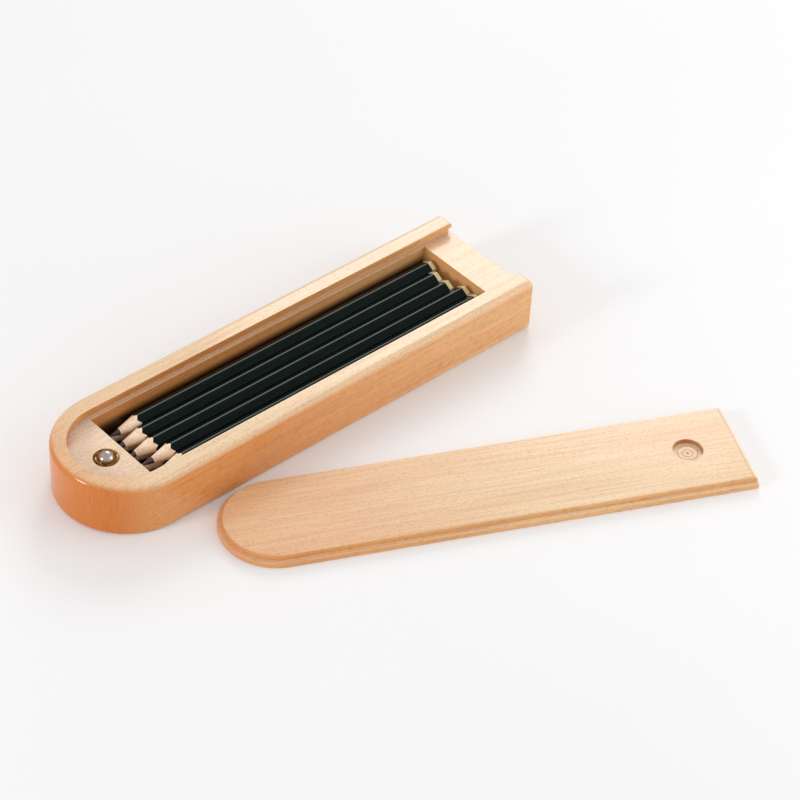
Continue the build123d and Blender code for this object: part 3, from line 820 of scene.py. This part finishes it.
def pencil_tree(piece_name, material):
    """Node tree that builds one piece of a pencil from rings of points around its axis."""
    tree = bpy.data.node_groups.new(f"pencil_{piece_name}", "GeometryNodeTree")
    tree.is_modifier = True
    for name in PENCIL_INPUTS:
        tree.interface.new_socket(name=name, in_out="INPUT", socket_type="NodeSocketFloat")
    tree.interface.new_socket(name="Points around", in_out="INPUT", socket_type="NodeSocketInt")
    tree.interface.new_socket(name="Place", in_out="INPUT", socket_type="NodeSocketVector")
    tree.interface.new_socket(name="Geometry", in_out="OUTPUT", socket_type="NodeSocketGeometry")
    given = add(tree, "NodeGroupInput", output=None).outputs

    # A grid of points is numbered ring by ring, and each point finds its ring and its angle.
    index = add(tree, "GeometryNodeInputIndex")
    columns = add(tree, "ShaderNodeMath", {0: given["Points around"], 1: 1.0}, operation="ADD")
    middle = add(tree, "ShaderNodeMath", {0: index, 1: 0.5}, operation="ADD")
    row = add(tree, "ShaderNodeMath", {0: middle, 1: columns}, operation="DIVIDE")
    ring = add(tree, "ShaderNodeMath", {0: row}, operation="FLOOR")
    before = add(tree, "ShaderNodeMath", {0: ring, 1: columns}, operation="MULTIPLY")
    step = add(tree, "ShaderNodeMath", {0: index, 1: before}, operation="SUBTRACT")
    turn = add(tree, "ShaderNodeMath", {0: step, 1: given["Points around"]}, operation="DIVIDE")
    around = add(tree, "ShaderNodeMath", {0: turn, 1: math.tau}, operation="MULTIPLY")

    rings, closed = pencil_rings(tree, piece_name, around, given)
    if closed:
        rings.append(rings[0])
    whole_columns = add(tree, "FunctionNodeFloatToInt", {0: columns})
    grid = add(tree, "GeometryNodeMeshGrid", {
        "Size X": 1.0, "Size Y": 1.0, "Vertices X": len(rings), "Vertices Y": whole_columns,
    })
    ring_number = add(tree, "FunctionNodeFloatToInt", {0: ring})

    # One switch picks the ring's place along the pencil, and another its radius.
    picked = []
    for column in zip(*rings):
        switch = add(tree, "GeometryNodeIndexSwitch", {"Index": ring_number}, output=None, data_type="FLOAT")
        while len(switch.index_switch_items) < len(rings):
            switch.index_switch_items.new()
        for number, value in enumerate(column, start=1):
            if isinstance(value, bpy.types.NodeSocket):
                tree.links.new(value, switch.inputs[number])
            else:
                switch.inputs[number].default_value = value
        picked.append(switch.outputs[0])
    along, radius = picked
    sine = add(tree, "ShaderNodeMath", {0: around}, operation="SINE")
    cosine = add(tree, "ShaderNodeMath", {0: around}, operation="COSINE")
    local = add(tree, "ShaderNodeCombineXYZ", {
        0: along,
        1: add(tree, "ShaderNodeMath", {0: radius, 1: sine}, operation="MULTIPLY"),
        2: add(tree, "ShaderNodeMath", {0: radius, 1: cosine}, operation="MULTIPLY"),
    })
    shaped = add(tree, "GeometryNodeSetPosition", {"Geometry": grid, "Position": local})
    welded = add(tree, "GeometryNodeMergeByDistance", {"Geometry": shaped, "Distance": 0.0005 * MM})
    stored = add(tree, "GeometryNodeStoreNamedAttribute", {
        "Geometry": welded, "Name": "pencil_place", "Value": add(tree, "GeometryNodeInputPosition"),
    }, data_type="FLOAT_VECTOR", domain="POINT")
    moved = add(tree, "GeometryNodeSetPosition", {"Geometry": stored, "Offset": given["Place"]})
    real = add(tree, "GeometryNodeRealizeInstances", {"Geometry": moved})
    dressed = add(tree, "GeometryNodeSetMaterial", {"Geometry": real, "Material": material})
    add(tree, "NodeGroupOutput", {"Geometry": dressed}, output=None)
    return tree


def turn_outwards(mesh):
    """Points every face out of its closed shell."""
    shape = bmesh.new()
    shape.from_mesh(mesh)
    bmesh.ops.recalc_face_normals(shape, faces=shape.faces)
    shape.to_mesh(mesh)
    shape.free()


def pencil_piece(pencil, piece_name, tree, settings):
    """One piece of one pencil, made by its node tree at the place of its CAD node."""
    low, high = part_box(f"{pencil}_lead")
    values = {name: getattr(settings, key) for name, key in PENCIL_INPUTS.items()}
    values["Points around"] = settings.sides
    values["Place"] = (low.x, (low.y + high.y) / 2, (low.z + high.z) / 2)
    name = f"{pencil}_{piece_name}_finish"
    piece = new_object(name, bpy.data.meshes.new(name))
    modifier = piece.modifiers.new("build", "NODES")
    modifier.node_group = tree
    for item in tree.interface.items_tree:
        if item.in_out == "INPUT":
            modifier[item.identifier] = values[item.name]
    bake_modifiers(piece)
    turn_outwards(piece.data)
    piece.data.shade_smooth()
    piece.data.set_sharp_from_angle(angle=math.radians(35))
    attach(piece, pencil)
    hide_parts(f"{pencil}_{piece_name}")
    return piece


class PENCILBOX_OT_pencils(bpy.types.Operator):
    """Build the eleven pencils, each of wood, lead, lacquer and a painted end"""
    bl_idname = "pencilbox.pencils"
    bl_label = "Pencils"

    def execute(self, context):
        settings = context.scene.pencilbox_pencil
        kinds = {
            "wood": (bare_cedar(settings), "pencil_wood"),
            "lead": (graphite_lead(settings), "graphite"),
            "lacquer": (gloss_lacquer(settings), "pencil_lacquer"),
            "end_dip": (end_paint(settings), "pencil_end_paint"),
        }
        for piece_name, (material, slot) in kinds.items():
            tree = pencil_tree(piece_name, material)
            for pencil in TOP_PENCILS + BOTTOM_PENCILS:
                pencil_piece(pencil, piece_name, tree, settings)
        return {"FINISHED"}


def table_surface(settings):
    """Matt white board: nearly even, with the faintest mottling."""
    material, tree = new_material("matt_white_board")
    place = add(tree, "ShaderNodeTexCoord", output="Object")
    mottle = add(tree, "ShaderNodeTexNoise", {"Vector": place, "Scale": 1 / (300 * MM), "Detail": 2.0})
    colour = add(tree, "ShaderNodeMix", {
        0: mottle, 6: settings.floor, 7: linear("#f6f5f5"),
    }, output=2, data_type="RGBA")
    shader = add(tree, "ShaderNodeBsdfPrincipled", {
        "Base Color": colour, "Roughness": 0.6, "Specular IOR Level": 0.1,
    })
    add(tree, "ShaderNodeOutputMaterial", {"Surface": shader}, output=None)
    return material


def soft_light(name, azimuth, elevation, distance, size, watts):
    """A soft square light that faces the object from an azimuth and an elevation in degrees."""
    lamp = bpy.data.lights.new(name, "AREA")
    lamp.shape = "SQUARE"
    lamp.size = size
    lamp.energy = watts
    holder = new_object(name, lamp)
    flat = math.cos(math.radians(elevation))
    turn = math.radians(azimuth)
    outward = Vector((flat * math.cos(turn), flat * math.sin(turn), math.sin(math.radians(elevation))))
    holder.location = outward * distance
    holder.rotation_euler = outward.to_track_quat("Z", "Y").to_euler()
    return holder


def table_top(settings):
    """A floor that reaches past the view on every side."""
    shape = bmesh.new()
    bmesh.ops.create_grid(shape, x_segments=1, y_segments=1, size=TABLE_HALF_SIDE)
    mesh = bpy.data.meshes.new("table")
    shape.to_mesh(mesh)
    shape.free()
    mesh.materials.append(table_surface(settings))
    table = new_object("table", mesh)
    return table


def studio_sky(strength):
    """Even white light from all round."""
    world = bpy.data.worlds.new("studio")
    world.use_nodes = True
    tree = world.node_tree
    tree.nodes.clear()
    sky = add(tree, "ShaderNodeBackground", {"Color": (1.0, 1.0, 1.0, 1.0), "Strength": strength})
    add(tree, "ShaderNodeOutputWorld", {"Surface": sky}, output=None)
    return world


def photo_camera():
    """A camera at the photograph's place and angle."""
    lens = bpy.data.cameras.new("camera")
    lens.sensor_width = CAMERA_SENSOR
    lens.lens = CAMERA_LENS
    lens.clip_start = 50 * MM
    camera = new_object("camera", lens)
    forward = CAMERA_FORWARD.normalized()
    right = (CAMERA_RIGHT - CAMERA_RIGHT.dot(forward) * forward).normalized()
    up = right.cross(forward)
    turn = Matrix((right, up, -forward)).transposed()
    camera.matrix_world = Matrix.Translation(CAMERA_PLACE) @ turn.to_4x4()
    return camera


class PENCILBOX_OT_stage(bpy.types.Operator):
    """Add the floor, the soft studio light and the camera at the photograph's angle"""
    bl_idname = "pencilbox.stage"
    bl_label = "Stage"

    def execute(self, context):
        settings = context.scene.pencilbox_stage
        scene = context.scene
        table_top(settings)
        scene.world = studio_sky(settings.sky)
        soft_light("key", azimuth=40, elevation=33, distance=1.6, size=0.55, watts=settings.key_watts)
        soft_light("side", azimuth=169, elevation=23, distance=1.0, size=0.2, watts=settings.side_watts)
        soft_light("fill", azimuth=-45, elevation=20, distance=0.8, size=0.6, watts=settings.fill_watts)
        scene.camera = photo_camera()
        scene.view_settings.view_transform = "Standard"
        return {"FINISHED"}


STEPS = (PENCILBOX_OT_box, PENCILBOX_OT_lid, PENCILBOX_OT_catch, PENCILBOX_OT_pencils, PENCILBOX_OT_stage)
SETTINGS = {
    "pencilbox_beech": BeechSettings, "pencilbox_pencil": PencilSettings,
    "pencilbox_catch": CatchSettings, "pencilbox_stage": StageSettings,
}


class PENCILBOX_PT_panel(bpy.types.Panel):
    """Lists the pieces of the pencil box and their settings"""
    bl_idname = "PENCILBOX_PT_panel"
    bl_label = "Pencil box"
    bl_space_type = "VIEW_3D"
    bl_region_type = "UI"
    bl_category = "Pencil box"

    def draw(self, context):
        for step in STEPS:
            self.layout.operator(step.bl_idname)
        for name, group in SETTINGS.items():
            column = self.layout.column()
            for setting in group.__annotations__:
                column.prop(getattr(context.scene, name), setting)


def register():
    for group in SETTINGS.values():
        bpy.utils.register_class(group)
    for name, group in SETTINGS.items():
        setattr(bpy.types.Scene, name, bpy.props.PointerProperty(type=group))
    for step in STEPS:
        bpy.utils.register_class(step)
    bpy.utils.register_class(PENCILBOX_PT_panel)


def unregister():
    bpy.utils.unregister_class(PENCILBOX_PT_panel)
    for step in reversed(STEPS):
        bpy.utils.unregister_class(step)
    for name, group in SETTINGS.items():
        delattr(bpy.types.Scene, name)
        bpy.utils.unregister_class(group)


def main():
    register()
    bpy.ops.pencilbox.box()
    bpy.ops.pencilbox.lid()
    bpy.ops.pencilbox.catch()
    bpy.ops.pencilbox.pencils()
    bpy.ops.pencilbox.stage()


if __name__ == "__main__":
    main()
